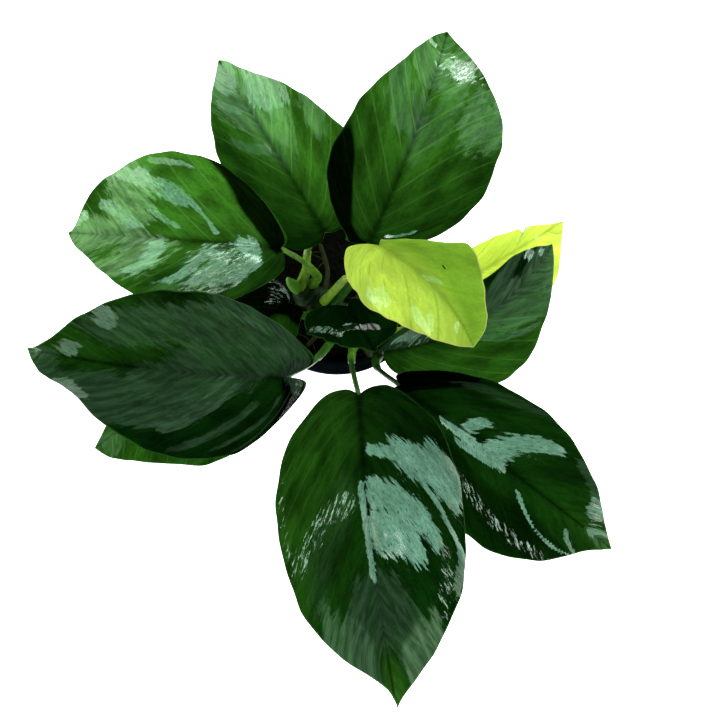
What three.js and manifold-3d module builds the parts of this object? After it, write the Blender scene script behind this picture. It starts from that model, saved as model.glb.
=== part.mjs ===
// Potted dwarf anubias: eleven heart-shaped leaves on a creeping rhizome in a black net pot.
// Millimetres, +Z up. The origin is on the pot's axis, at the underside of its foot. +Y is the back.
import * as THREE from 'three';
import { mergeVertices } from 'three/addons/utils/BufferGeometryUtils.js';
import Module from 'manifold-3d';

const wasm = await Module();
wasm.setup();

// Net pot
const POT_HEIGHT = 50;
const POT_FOOT_RADIUS = 18;
const POT_NECK_RADIUS = 25;
const POT_RIM_RADIUS = 28;
const POT_WALL = 1.2;
const POT_FLOOR = 1.6;
const RIM_THICKNESS = 1.5;
const RIM_LIP_HEIGHT = 3;
const POT_SIDES = 28;
const SLOT_COLUMNS = 14;
const SLOT_WIDTH = 3;
const SLOT_HEIGHT = 9;
const SLOT_BOTTOMS = [7, 19.5, 32];
const FLOOR_SLOTS = 7;
const FLOOR_SLOT_INNER = 9;
const FLOOR_SLOT_OUTER = 15;

// What fills the pot, and the rhizome that lies on it
const GAP = 0.4;
const MEDIUM_TOP = 45;
const MEDIUM_LUMP = 0.5;
const RHIZOME_RADIUS = 4.3;
const RHIZOME_SCAR = 0.35;
const RHIZOME_LINE = [[11.5, -18, 50], [5, -13, 50.6], [-3, -7, 51.6], [-9, -3, 53.5], [-11.5, -1.5, 56.5]];
const SHOOT_LINE = [[-13.3, -0.6, 61.4], [-14.2, 0.2, 66], [-14.4, 1.2, 71]];
const SHOOT_RADIUS = 2;
const ROOT_RADIUS = 0.9;
const ROOT_LINES = [
  [[-3.2, -13.2, 48.2], [-6.5, -16, 47.6], [-9, -18.5, 47]],
  [[-13.6, -7.5, 49], [-16.5, -9.5, 47.8], [-19.5, -8.5, 47]],
  [[-3.5, -0.2, 48.6], [-3, 5, 47.4], [-5, 12, 47]],
  [[4.8, -6, 48.2], [8.5, -1.5, 47.4], [14, 2, 47]],
];

// Leaves: half widths are measured square to the straight line from where the stalk joins to the tip
const STATIONS = [0, 0.12, 0.28, 0.46, 0.64, 0.8, 0.91, 0.97];
const BLADE_THICKNESS = 0.8;
const KEEL = 0.8;
const VEIN_ROOTS = [0, 0, ...STATIONS.map((station) => station ** 1.7), 1];
const VEIN_BOW = 0.1;
const FOLD = 0.34;
const CURL = 0.42;
const MARGIN_STEPS = 20;
const VEIN_STEPS = [0, 0.4, 0.75, 1];
const STALK_RADIUS = 0.75;
const SHEATH_RADIUS = 1.3;
const SHEATH_SHARE = 0.42;
const STALK_DROP = 2.6;
const OLD_GREEN = '#1d4d12';
const YOUNG_GREEN = '#a9cf2b';

const LEAVES = [
  {
    name: 'back_left', colour: OLD_GREEN, base: [-3, 12.5, 98], tip: [-34, 63.5, 84],
    arch: 4, roll: 0, bend: 0, stalk: [[-9.2, 3.6, 58], [-8, 9, 80]],
    left: { lobe: [2, 3], half: [9.5, 14, 16, 16, 13.5, 9.5, 4.5, 1.5] },
    right: { lobe: [1.5, 4.5], half: [8, 16, 20.5, 18.5, 15, 9, 4, 2] },
  },
  {
    name: 'back_right', colour: OLD_GREEN, base: [9.5, 8.5, 112], tip: [32, 70.5, 90],
    arch: 5, roll: 0, bend: -1.5, stalk: [[0.8, -4.4, 57.4], [5.6, 0.6, 82]],
    left: { lobe: [1.5, 6], half: [7, 14.5, 18.5, 17.5, 14.5, 9, 5.5, 2.5] },
    right: { lobe: [0.5, 1], half: [5.5, 16.5, 23.5, 25.5, 24.5, 18, 10, 3] },
  },
  {
    name: 'left_upper', colour: OLD_GREEN, base: [-15, 7.5, 106], tip: [-76.5, 13, 90],
    arch: 4, roll: 0, bend: 0, stalk: [[-5.2, 1.6, 56.4], [-9.2, 5, 82]],
    left: { lobe: [1.5, 4], half: [7.5, 13, 16.5, 17.5, 16.5, 11, 6, 3] },
    right: { lobe: [1.5, 2], half: [5.5, 14, 21, 24.5, 23.5, 18, 11.5, 2] },
  },
  {
    name: 'left_lower', colour: OLD_GREEN, base: [-13, -28, 116], tip: [-87, -20, 96],
    arch: 5, roll: 0, bend: 2, stalk: [[0.2, -15.2, 53.4], [-6, -23.5, 84]],
    left: { lobe: [5.5, 1.5], half: [11, 20.5, 25, 24.5, 19.5, 11, 7.5, 4] },
    right: { lobe: [7, 5], half: [11.5, 16.5, 20, 20, 17, 10.5, 3.5, 0.5] },
  },
  {
    name: 'left_under', colour: OLD_GREEN, base: [-13.5, -7, 88], tip: [-71.5, -49.5, 74],
    arch: 3, roll: 0, bend: 0, stalk: [[-7.6, -9.8, 53.8], [-11.4, -9.6, 70]],
    left: { lobe: [2, 4], half: [6, 12.5, 20.5, 25.5, 24, 16, 9, 5] },
    right: { lobe: [2, 3], half: [9, 13.5, 15, 13.5, 10.5, 7.5, 3, 1] },
  },
  {
    name: 'front', colour: OLD_GREEN, base: [6.5, -33, 116], tip: [17.5, -122, 96],
    arch: 5, roll: 0, bend: -1.5, stalk: [[5, -19.4, 54], [4.6, -24.5, 80]],
    left: { lobe: [2, 5.5], half: [11, 20.5, 24, 24.5, 21.5, 14, 6, 1.5] },
    right: { lobe: [2, 3], half: [8.5, 19, 25.5, 26, 23, 14.5, 3.5, 0.5] },
  },
  {
    name: 'front_right', colour: OLD_GREEN, base: [18, -30.5, 106], tip: [79, -77.5, 90],
    arch: 4, roll: 0, bend: 0, stalk: [[12, -23.4, 51.6], [12.6, -26.2, 78]],
    left: { lobe: [2.5, 1.5], half: [5, 12, 17, 19, 17, 11.5, 5, 1.5] },
    right: { lobe: [1, 2], half: [3, 11, 18, 21.5, 21, 15.5, 6, 2] },
  },
  {
    name: 'right', colour: OLD_GREEN, base: [13.5, -21, 98], tip: [62.5, 10, 86],
    arch: 4, roll: 10, bend: -7, stalk: [[16, -20.6, 51.6], [16.4, -22.6, 76]],
    left: { lobe: [1, 1.5], half: [2, 2.5, 2.5, 2.5, 2, 3, 2, 0.5] },
    right: { lobe: [1, 3.5], half: [7.5, 17, 23.5, 25.5, 22.5, 15.5, 8.5, 3.5] },
  },
  {
    name: 'young_middle', colour: YOUNG_GREEN, base: [12, 7, 122], tip: [38, -20, 110],
    arch: 5, roll: 0, bend: 3, stalk: [[-3.4, -5, 57.4], [3.6, 0.8, 88]],
    left: { lobe: [0.8, 1.2], half: [2.2, 7, 12.5, 17.5, 15, 11, 8, 5] },
    right: { lobe: [5.5, 6.5], half: [12, 13, 13.5, 11, 8.5, 5.5, 3, 1] },
  },
  {
    name: 'young_right', colour: YOUNG_GREEN, base: [26, -8, 84], tip: [67, 17.5, 76],
    arch: 3, roll: 0, bend: 0, stalk: [[14.6, -15.4, 53], [19.2, -14.4, 68]],
    left: { lobe: [0.8, 1.5], half: [3, 6, 7, 7.5, 6, 4, 1.5, 0.5] },
    right: { lobe: [1.5, 2], half: [6, 11, 15, 17, 16, 12, 5.5, 2] },
  },
  {
    name: 'centre', colour: OLD_GREEN, base: [3.5, -8, 90], tip: [11.5, -21, 72],
    arch: 7, roll: 0, bend: 0, stalk: [[4.4, -9.6, 56.4], [5.6, -6.4, 72]],
    left: { lobe: [1.5, 2], half: [4, 6.5, 9, 10.5, 11, 9.5, 7.5, 5.5] },
    right: { lobe: [4.5, 10.5], half: [14, 13, 11, 9, 6.5, 3, 1.5, 0.5] },
  },
];

const plant = new THREE.Group();

function addPiece(name, geometry, colour, roughness) {
  const material = new THREE.MeshStandardMaterial({ color: colour, roughness, metalness: 0 });
  const mesh = new THREE.Mesh(geometry, material);
  mesh.name = name;
  plant.add(mesh);
}

// A closed surface from a list of triangles, each one three points
function fromTriangles(triangles) {
  const geometry = new THREE.BufferGeometry().setFromPoints(triangles.flat());
  return mergeVertices(geometry, 1e-4);
}

// Where a row of points shrinks to one point, its flat triangles are left out
function addTriangle(triangles, a, b, c) {
  const shortest = Math.min(a.distanceTo(b), b.distanceTo(c), c.distanceTo(a));
  if (shortest > 1e-6) triangles.push([a, b, c]);
}

function addQuad(triangles, a, b, c, d) {
  addTriangle(triangles, a, b, c);
  addTriangle(triangles, a, c, d);
}

// Round stalks, roots and the rhizome: a tube along a line, with closed ends
function tube(line, radiusAt, sides, steps) {
  const path = new THREE.CatmullRomCurve3(line.map((p) => new THREE.Vector3(...p)));
  const frames = path.computeFrenetFrames(steps);
  const rings = [];
  for (let i = 0; i <= steps; i += 1) {
    const centre = path.getPointAt(i / steps);
    const radius = radiusAt(i / steps);
    const ring = [];
    for (let k = 0; k < sides; k += 1) {
      const angle = (k / sides) * 2 * Math.PI;
      const point = centre.clone();
      point.addScaledVector(frames.normals[i], radius * Math.cos(angle));
      point.addScaledVector(frames.binormals[i], radius * Math.sin(angle));
      ring.push(point);
    }
    rings.push(ring);
  }
  const triangles = [];
  const start = path.getPointAt(0);
  const end = path.getPointAt(1);
  for (let k = 0; k < sides; k += 1) {
    const next = (k + 1) % sides;
    for (let i = 0; i < steps; i += 1) {
      addQuad(triangles, rings[i][k], rings[i][next], rings[i + 1][next], rings[i + 1][k]);
    }
    addTriangle(triangles, start, rings[0][next], rings[0][k]);
    addTriangle(triangles, end, rings[steps][k], rings[steps][next]);
  }
  return fromTriangles(triangles);
}

// The edge of one half of a blade, from the stalk round the lobe to the tip
function marginCurve(side, length) {
  const [reach, out] = side.lobe;
  const points = [new THREE.Vector2(0, 0), new THREE.Vector2(-reach, out)];
  STATIONS.forEach((station, i) => points.push(new THREE.Vector2(station * length, side.half[i])));
  points.push(new THREE.Vector2(length, 0));
  return new THREE.SplineCurve(points);
}

// Where on the midrib, from 0 to 1, the side vein leaves that ends a share u of the way round
function veinRoot(u) {
  const place = u * (VEIN_ROOTS.length - 1);
  const i = Math.min(Math.floor(place), VEIN_ROOTS.length - 2);
  return THREE.MathUtils.lerp(VEIN_ROOTS[i], VEIN_ROOTS[i + 1], place - i);
}

// A point of the upper face, a share w of the way along one side vein
function bladePoint(leaf, edge, sign, root, w) {
  const reach = new THREE.Vector2(leaf.tip[0] - leaf.base[0], leaf.tip[1] - leaf.base[1]);
  const length = reach.length();
  const along = reach.normalize();
  const midrib = leaf.bend * 4 * root * (1 - root);
  const width = Math.abs(sign * edge.y - midrib);
  const a = root * length * (1 - w) + edge.x * w - VEIN_BOW * width * 4 * w * (1 - w);
  const b = midrib * (1 - w) + sign * edge.y * w;
  const t = a / length;
  const spine = leaf.base[2] + (leaf.tip[2] - leaf.base[2]) * t + leaf.arch * 4 * t * (1 - t);
  const crown = width * (FOLD * w - CURL * w * w);
  const tilt = b * Math.tan(THREE.MathUtils.degToRad(leaf.roll));
  const x = leaf.base[0] + a * along.x - b * along.y;
  const y = leaf.base[1] + a * along.y + b * along.x;
  return new THREE.Vector3(x, y, spine + crown + tilt);
}

// The lower face hangs under the upper one, thickest along the midrib and sharp at the margin
function underside(point, w, root) {
  const keel = w === 0 ? KEEL * (1 - root) : 0;
  const drop = BLADE_THICKNESS * (1 - w * w) + keel;
  return new THREE.Vector3(point.x, point.y, point.z - drop);
}

function blade(leaf) {
  const length = Math.hypot(leaf.tip[0] - leaf.base[0], leaf.tip[1] - leaf.base[1]);
  const joint = new THREE.Vector3(...leaf.base);
  const tip = new THREE.Vector3(...leaf.tip);
  const jointBelow = underside(joint, 0, 0);
  const triangles = [];
  for (const [side, sign] of [[leaf.left, 1], [leaf.right, -1]]) {
    const curve = marginCurve(side, length);
    const top = [];
    const below = [];
    for (let i = 0; i <= MARGIN_STEPS; i += 1) {
      const u = i / MARGIN_STEPS;
      const edge = curve.getPoint(u);
      const root = veinRoot(u);
      const upper = VEIN_STEPS.map((w) => bladePoint(leaf, edge, sign, root, w));
      const lower = upper.map((point, j) => underside(point, VEIN_STEPS[j], root));
      top.push(i === 0 ? upper.map(() => joint) : i === MARGIN_STEPS ? upper.map(() => tip) : upper);
      below.push(i === 0 ? upper.map(() => jointBelow) : i === MARGIN_STEPS ? upper.map(() => tip) : lower);
    }
    addHalf(triangles, top, sign);
    addHalf(triangles, below, -sign);
    const rim = top[1][VEIN_STEPS.length - 1];
    if (sign > 0) addTriangle(triangles, joint, rim, jointBelow);
    else addTriangle(triangles, joint, jointBelow, rim);
  }
  return fromTriangles(triangles);
}

function addHalf(triangles, grid, facing) {
  for (let i = 0; i < grid.length - 1; i += 1) {
    for (let j = 0; j < VEIN_STEPS.length - 1; j += 1) {
      const corners = [grid[i][j], grid[i + 1][j], grid[i + 1][j + 1], grid[i][j + 1]];
      if (facing < 0) corners.reverse();
      addQuad(triangles, ...corners);
    }
  }
}

// Each stalk is sheathed low down, and ends just under the joint of its blade
function stalk(leaf) {
  const [x, y, z] = leaf.base;
  const line = [...leaf.stalk, [x, y, z - STALK_DROP]];
  const radiusAt = (t) => (t < SHEATH_SHARE ? SHEATH_RADIUS : STALK_RADIUS);
  return tube(line, radiusAt, 6, 9);
}

function rhizome() {
  const radiusAt = (t) => {
    const end = Math.min(1, t / 0.12, (1 - t) / 0.22);
    const round = Math.sqrt(1 - (1 - end) ** 2);
    const scar = RHIZOME_SCAR * Math.cos(t * 12 * Math.PI);
    return 1.2 + (RHIZOME_RADIUS - 1.2 + scar) * round;
  };
  return tube(RHIZOME_LINE, radiusAt, 10, 14);
}

function shoot() {
  return tube(SHOOT_LINE, (t) => SHOOT_RADIUS * Math.sqrt(1 - t * t) + 0.3, 8, 5);
}

function wallRadius(z) {
  return THREE.MathUtils.mapLinear(z, 0, POT_HEIGHT, POT_FOOT_RADIUS, POT_NECK_RADIUS);
}

// Wet crumbly filling, a loose fit in the pot, with a lumpy top
function medium() {
  const foot = POT_FLOOR + GAP;
  const edgeTop = MEDIUM_TOP - 0.6;
  const profile = [
    [0, foot],
    [wallRadius(foot) - POT_WALL - GAP, foot],
    [wallRadius(edgeTop) - POT_WALL - GAP, edgeTop],
    [19, MEDIUM_TOP],
    [12.5, MEDIUM_TOP - 0.3],
    [6, MEDIUM_TOP - 0.6],
    [0, MEDIUM_TOP - 0.6],
  ].map(([r, z]) => new THREE.Vector2(r, z));
  const solid = weld(new THREE.LatheGeometry(profile, 24));
  const place = solid.attributes.position;
  for (let i = 0; i < place.count; i += 1) {
    const [x, y, z] = [place.getX(i), place.getY(i), place.getZ(i)];
    const lump = MEDIUM_LUMP * Math.sin(x * 0.9 + y * 0.4) * Math.cos(y * 0.8 - x * 0.3);
    if (z > edgeTop + 0.01 || Math.hypot(x, y) < 1) place.setZ(i, z > foot + 1 ? z + lump : z);
  }
  return solid;
}

// Turned shapes come out along Y, so they are stood up along Z and their seams are closed
function weld(geometry) {
  geometry.rotateX(Math.PI / 2);
  geometry.deleteAttribute('normal');
  geometry.deleteAttribute('uv');
  return mergeVertices(geometry, 1e-4);
}

function toSolid(geometry) {
  const vertProperties = new Float32Array(geometry.attributes.position.array);
  const triVerts = new Uint32Array(geometry.index.array);
  return new wasm.Manifold(new wasm.Mesh({ numProp: 3, vertProperties, triVerts }));
}

function fromSolid(solid) {
  const mesh = solid.getMesh();
  const geometry = new THREE.BufferGeometry();
  geometry.setAttribute('position', new THREE.BufferAttribute(mesh.vertProperties, 3));
  geometry.setIndex(new THREE.BufferAttribute(mesh.triVerts, 1));
  return geometry;
}

function potShell() {
  const lip = POT_HEIGHT - RIM_LIP_HEIGHT;
  const under = POT_HEIGHT - RIM_THICKNESS;
  const profile = [
    [0, 0],
    [POT_FOOT_RADIUS - 1, 0],
    [POT_FOOT_RADIUS, 1],
    [wallRadius(under), under],
    [POT_RIM_RADIUS - 1, under],
    [POT_RIM_RADIUS - 1, lip],
    [POT_RIM_RADIUS, lip],
    [POT_RIM_RADIUS, POT_HEIGHT - 0.7],
    [POT_RIM_RADIUS - 0.7, POT_HEIGHT],
    [POT_NECK_RADIUS - POT_WALL + 0.5, POT_HEIGHT],
    [POT_NECK_RADIUS - POT_WALL, POT_HEIGHT - 0.5],
    [wallRadius(POT_FLOOR) - POT_WALL, POT_FLOOR],
    [0, POT_FLOOR],
  ].map(([r, z]) => new THREE.Vector2(r, z));
  return weld(new THREE.LatheGeometry(profile, POT_SIDES));
}

function slotCutter(width, depth, height, radius, z, angle) {
  const box = new THREE.BoxGeometry(depth, width, height);
  box.translate(radius, 0, z);
  box.rotateZ(angle);
  box.deleteAttribute('normal');
  box.deleteAttribute('uv');
  return toSolid(mergeVertices(box, 1e-4));
}

// Slots stand in the middle of every other flat of the wall, in three rows, and lie in the floor
function netPot() {
  let pot = toSolid(potShell());
  for (let k = 0; k < SLOT_COLUMNS; k += 1) {
    const angle = ((2 * k + 0.5) / POT_SIDES) * 2 * Math.PI;
    for (const bottom of SLOT_BOTTOMS) {
      const middle = bottom + SLOT_HEIGHT / 2;
      pot = pot.subtract(slotCutter(SLOT_WIDTH, 8, SLOT_HEIGHT, wallRadius(middle), middle, angle));
    }
  }
  const slotLength = FLOOR_SLOT_OUTER - FLOOR_SLOT_INNER;
  const slotMiddle = (FLOOR_SLOT_OUTER + FLOOR_SLOT_INNER) / 2;
  for (let k = 0; k < FLOOR_SLOTS; k += 1) {
    const angle = (k / FLOOR_SLOTS) * 2 * Math.PI;
    pot = pot.subtract(slotCutter(SLOT_WIDTH, slotLength, 4 * POT_FLOOR, slotMiddle, 0, angle));
  }
  return fromSolid(pot);
}

addPiece('net_pot', netPot(), '#101114', 0.45);
addPiece('growing_medium', medium(), '#1c1610', 0.95);
addPiece('rhizome', rhizome(), '#4f6a2c', 0.6);
addPiece('new_shoot', shoot(), '#86b84a', 0.45);
ROOT_LINES.forEach((line, i) => {
  addPiece(`anchor_root_${i + 1}`, tube(line, (t) => ROOT_RADIUS * (1 - 0.3 * t), 6, 5), '#8c9a5e', 0.7);
});
for (const leaf of LEAVES) {
  addPiece(`leaf_${leaf.name}`, blade(leaf), leaf.colour, 0.25);
  addPiece(`stalk_${leaf.name}`, stalk(leaf), leaf.colour, 0.4);
}

export default plant;
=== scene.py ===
# Potted dwarf anubias: eleven heart-shaped leaves on a creeping rhizome in a black net pot.
# Sizes are written in real millimetres, and MM turns a finished shape to metres.
import math

import bmesh
import bpy
import numpy as np
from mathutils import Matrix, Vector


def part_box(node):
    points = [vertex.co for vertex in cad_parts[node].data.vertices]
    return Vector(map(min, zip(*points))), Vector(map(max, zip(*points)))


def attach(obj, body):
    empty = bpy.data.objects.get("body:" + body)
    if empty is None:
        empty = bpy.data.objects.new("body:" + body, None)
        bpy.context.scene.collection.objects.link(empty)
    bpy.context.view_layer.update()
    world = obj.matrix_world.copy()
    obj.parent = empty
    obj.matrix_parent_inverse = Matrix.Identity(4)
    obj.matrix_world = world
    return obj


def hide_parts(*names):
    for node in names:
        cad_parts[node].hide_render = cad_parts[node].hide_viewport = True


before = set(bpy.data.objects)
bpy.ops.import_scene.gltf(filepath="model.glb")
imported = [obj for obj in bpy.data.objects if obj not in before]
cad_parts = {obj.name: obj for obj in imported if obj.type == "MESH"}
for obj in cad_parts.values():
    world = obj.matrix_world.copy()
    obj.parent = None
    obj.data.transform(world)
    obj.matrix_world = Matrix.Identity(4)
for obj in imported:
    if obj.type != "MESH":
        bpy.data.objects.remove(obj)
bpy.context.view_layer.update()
MM = 0.001

# The camera hangs over the plant and looks straight down, with the back of the plant at the top.
# Its lens is worked out from the pot's rim, which is 180 pixels across in the photograph.
PHOTO_LONG_SIDE = 728
RIM_PIXELS = 180
SENSOR_WIDTH = 36
CAMERA_OVER_RIM = 500 * MM
VIEW_CENTRE = (4.7 * MM, -24.6 * MM)

pot_low, pot_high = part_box("net_pot")
focal_pixels = RIM_PIXELS / (pot_high[0] - pot_low[0]) * CAMERA_OVER_RIM
camera_data = bpy.data.cameras.new("overhead camera")
camera_data.sensor_width = SENSOR_WIDTH
camera_data.lens = SENSOR_WIDTH * focal_pixels / PHOTO_LONG_SIDE
camera = bpy.data.objects.new("overhead camera", camera_data)
camera.location = (*VIEW_CENTRE, pot_high[2] + CAMERA_OVER_RIM)
bpy.context.collection.objects.link(camera)
bpy.context.scene.camera = camera
bpy.context.scene.view_settings.view_transform = "Standard"


# The ground is an opal table top lit from inside, so light also comes up through the leaves.
# A cloth tent and soft boxes stand round the plant, and none of this is part of it.
TABLE_SIZE, TABLE_GLOW = 6, 2.2
TENT_LIGHT, TENT_SHINE = 1.0, 3.3
TENT_WHITE = (0.95, 1.0, 0.9, 1)
# Wet leaves mirror a green top and whiter sides; TENT_EDGES is the height where one meets the other
TENT_TOP, TENT_SIDES = (0.45, 1.0, 0.7, 1), (1.0, 1.5, 1.1, 1)
TENT_EDGES = (0.3, 0.68)
BOX_WHITE = (0.88, 1.0, 0.92)
AIM = (0.0, -0.03, 0.1)
SOFT_BOXES = {
    "over the left leaves": dict(place=(-0.3, 0.45, 1.2), size=(0.22, 0.22), radiance=9.0),
    "back right, low": dict(place=(0.5, 1.0, 0.37), size=(0.5, 0.3), radiance=6.5),
    "front left": dict(place=(-0.26, -0.66, 0.95), size=(0.16, 0.16), radiance=6.0),
    "right": dict(place=(0.8, 0.64, 0.7), size=(0.15, 0.15), radiance=12.0),
}


def linear(hex_colour):
    """An sRGB hex colour as linear red, green, blue and alpha."""
    parts = [int(hex_colour[i : i + 2], 16) / 255 for i in (0, 2, 4)]
    return [c / 12.92 if c <= 0.04045 else ((c + 0.055) / 1.055) ** 2.4 for c in parts] + [1.0]


def new_material(name):
    """An empty material and its node tree."""
    material = bpy.data.materials.new(name)
    material.use_nodes = True
    material.node_tree.nodes.clear()
    return material, material.node_tree


def add(tree, kind, inputs=None, **settings):
    """A node with its settings; inputs maps a socket to a value, or to an output or node."""
    node = tree.nodes.new(kind)
    for key, value in settings.items():
        setattr(node, key, value)
    for key, value in (inputs or {}).items():
        if isinstance(value, bpy.types.Node):
            value = value.outputs[0]
        if isinstance(value, bpy.types.NodeSocket):
            tree.links.new(value, node.inputs[key])
        else:
            node.inputs[key].default_value = value
    return node


def opal_table():
    """Opal acrylic lit from below: an even white glow with no shine."""
    material, tree = new_material("opal light table")
    white = linear("f4f4f4")
    glow = {"Base Color": white, "Roughness": 0.9}
    glow.update({"Emission Color": white, "Emission Strength": TABLE_GLOW})
    opal = add(tree, "ShaderNodeBsdfPrincipled", glow)
    add(tree, "ShaderNodeOutputMaterial", {"Surface": opal})
    bpy.ops.mesh.primitive_plane_add(size=TABLE_SIZE)
    ground = bpy.context.object
    ground.name = "ground"
    ground.data.materials.append(material)


def light_tent():
    """A white tent for soft light; only reflections see its green top and whiter sides."""
    world = bpy.data.worlds.new("light tent")
    world.use_nodes = True
    tree = world.node_tree
    tree.nodes.clear()
    mirrors = add(tree, "ShaderNodeLightPath").outputs["Is Glossy Ray"]
    direction = add(tree, "ShaderNodeTexCoord").outputs["Generated"]
    height = add(tree, "ShaderNodeSeparateXYZ", {0: direction}).outputs[2]
    overhead = add(tree, "ShaderNodeMapRange", {0: height, 1: TENT_EDGES[0], 2: TENT_EDGES[1]})
    cloth = add(tree, "ShaderNodeMix", {0: overhead, 6: TENT_SIDES, 7: TENT_TOP}, data_type="RGBA")
    light = add(tree, "ShaderNodeBackground", {"Color": TENT_WHITE, "Strength": TENT_LIGHT})
    shine = add(tree, "ShaderNodeBackground", {"Color": cloth.outputs[2], "Strength": TENT_SHINE})
    both = add(tree, "ShaderNodeMixShader", {0: mirrors, 1: light, 2: shine})
    add(tree, "ShaderNodeOutputWorld", {"Surface": both})
    bpy.context.scene.world = world


def soft_box(name, place, size, radiance):
    """A soft box of a stated brightness, so that its reflection keeps its look at any size."""
    light = bpy.data.lights.new(name, "AREA")
    light.shape = "RECTANGLE"
    light.size, light.size_y = size
    light.energy = radiance * math.pi * size[0] * size[1]
    light.color = BOX_WHITE
    box = bpy.data.objects.new(name, light)
    box.location = place
    bpy.context.collection.objects.link(box)
    x, y, z = (aim - start for aim, start in zip(AIM, place))
    box.rotation_euler = (0, -math.atan2(math.hypot(x, y), -z), math.atan2(y, x))


opal_table()
light_tent()
for name, box in SOFT_BOXES.items():
    soft_box(f"soft box, {name}", **box)


# Net pot: one thin cup of black polypropylene, injection moulded, with a turned-down rim and slots
# in its wall and floor for the roots.
POT_HEIGHT, FOOT_RADIUS, NECK_RADIUS = 50, 18, 25
WALL, FLOOR = 1.2, 1.6
POT_STEPS = 168
SLOT_COLUMNS, SLOT_WIDTH, SLOT_HEIGHT, SLOT_BOTTOMS = 14, 3, 9, (7, 19.5, 32)
FLOOR_SLOTS, FLOOR_SLOT_ENDS = 7, (9, 15)
CUTTER_SIDES, CUTTER_REACH = 24, 4
CREASE = math.radians(35)


def wall_radius(z):
    return FOOT_RADIUS + (NECK_RADIUS - FOOT_RADIUS) * z / POT_HEIGHT


def lofted(rings, shape=None):
    """A closed shape through rings of points, added to a shape; a ring may be a single point."""
    if shape is None:
        shape = bmesh.new()
    rings = [[shape.verts.new(point) for point in ring] for ring in rings]
    for low, high in zip(rings, rings[1:]):
        for k in range(max(len(low), len(high))):
            corners = [low[k % len(low)], low[(k + 1) % len(low)]]
            corners += [high[(k + 1) % len(high)], high[k % len(high)]]
            shape.faces.new(list(dict.fromkeys(corners)))
    for ring in (rings[0], rings[-1]):
        if len(ring) > 1:
            shape.faces.new(ring)
    bmesh.ops.recalc_face_normals(shape, faces=shape.faces)
    return shape


def turned(profile, steps):
    """A closed turned shape; the profile starts and ends on the axis."""
    turns = [2 * math.pi * k / steps for k in range(steps)]
    return lofted(
        [(r * math.cos(t), r * math.sin(t), z) for t in (turns if r else turns[:1])]
        for r, z in profile
    )


def place_mesh(name, shape, *materials):
    """A finished piece from a shape in millimetres."""
    mesh = bpy.data.meshes.new(name)
    bmesh.ops.scale(shape, vec=(MM, MM, MM), verts=shape.verts)
    shape.to_mesh(mesh)
    shape.free()
    piece = bpy.data.objects.new(name, mesh)
    bpy.context.collection.objects.link(piece)
    for material in materials:
        mesh.materials.append(material)
    return piece


def finished(piece):
    """The piece as a plain mesh, with its modifiers worked in."""
    evaluated = piece.evaluated_get(bpy.context.evaluated_depsgraph_get())
    mesh = bpy.data.meshes.new_from_object(evaluated)
    piece.modifiers.clear()
    piece.data = mesh
    return piece


def slot_cutters():
    """A block with rounded ends for every slot."""
    shape = bmesh.new()
    upright = np.array((0, 0, 1.0))

    def outward_and_side(turn):
        x, y = math.cos(turn), math.sin(turn)
        return np.array((x, y, 0)), np.array((-y, x, 0))

    def cutter(height, middle, outward, up, side):
        radius = SLOT_WIDTH / 2
        ring = []
        for k in range(CUTTER_SIDES):
            turn = 2 * math.pi * (k + 0.5) / CUTTER_SIDES
            shift = math.copysign(height / 2 - radius, math.sin(turn))
            ring.append(side * (radius * math.cos(turn)) + up * (radius * math.sin(turn) + shift))
        ends = (middle - outward * CUTTER_REACH, middle + outward * CUTTER_REACH)
        lofted([[end + point for point in ring] for end in ends], shape)

    for k in range(SLOT_COLUMNS):
        outward, side = outward_and_side(2 * math.pi * (k + 0.25) / SLOT_COLUMNS)
        for bottom in SLOT_BOTTOMS:
            height = bottom + SLOT_HEIGHT / 2
            middle = outward * wall_radius(height) + upright * height
            cutter(SLOT_HEIGHT, middle, outward, upright, side)
    near, far = FLOOR_SLOT_ENDS
    for k in range(FLOOR_SLOTS):
        outward, side = outward_and_side(2 * math.pi * k / FLOOR_SLOTS)
        cutter(far - near, outward * (near + far) / 2, upright, outward, side)
    return place_mesh("slot cutters", shape)


def black_polypropylene():
    """Moulded polypropylene: a deep blue-black with a soft low shine.

    Its pits are too fine to show in life and are drawn 0.7 mm apart, with dull patches of 6 mm.
    """
    material, tree = new_material("black moulded polypropylene")
    place = add(tree, "ShaderNodeTexCoord").outputs["Object"]
    pits = add(tree, "ShaderNodeTexNoise", {"Vector": place, "Scale": 1400, "Detail": 2})
    dull = add(tree, "ShaderNodeTexNoise", {"Vector": place, "Scale": 160, "Detail": 5})
    rough = add(tree, "ShaderNodeMapRange", {0: dull, 1: 0.35, 2: 0.7, 3: 0.3, 4: 0.5})
    blacks = {0: dull, 6: linear("020207"), 7: linear("06060f")}
    colour = add(tree, "ShaderNodeMix", blacks, data_type="RGBA").outputs[2]
    bump = add(tree, "ShaderNodeBump", {"Height": pits, "Distance": 0.04 * MM, "Strength": 0.5})
    skin = {"Base Color": colour, "Roughness": rough, "Specular IOR Level": 0.04, "Normal": bump}
    plastic = add(tree, "ShaderNodeBsdfPrincipled", skin)
    add(tree, "ShaderNodeOutputMaterial", {"Surface": plastic})
    return material


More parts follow.
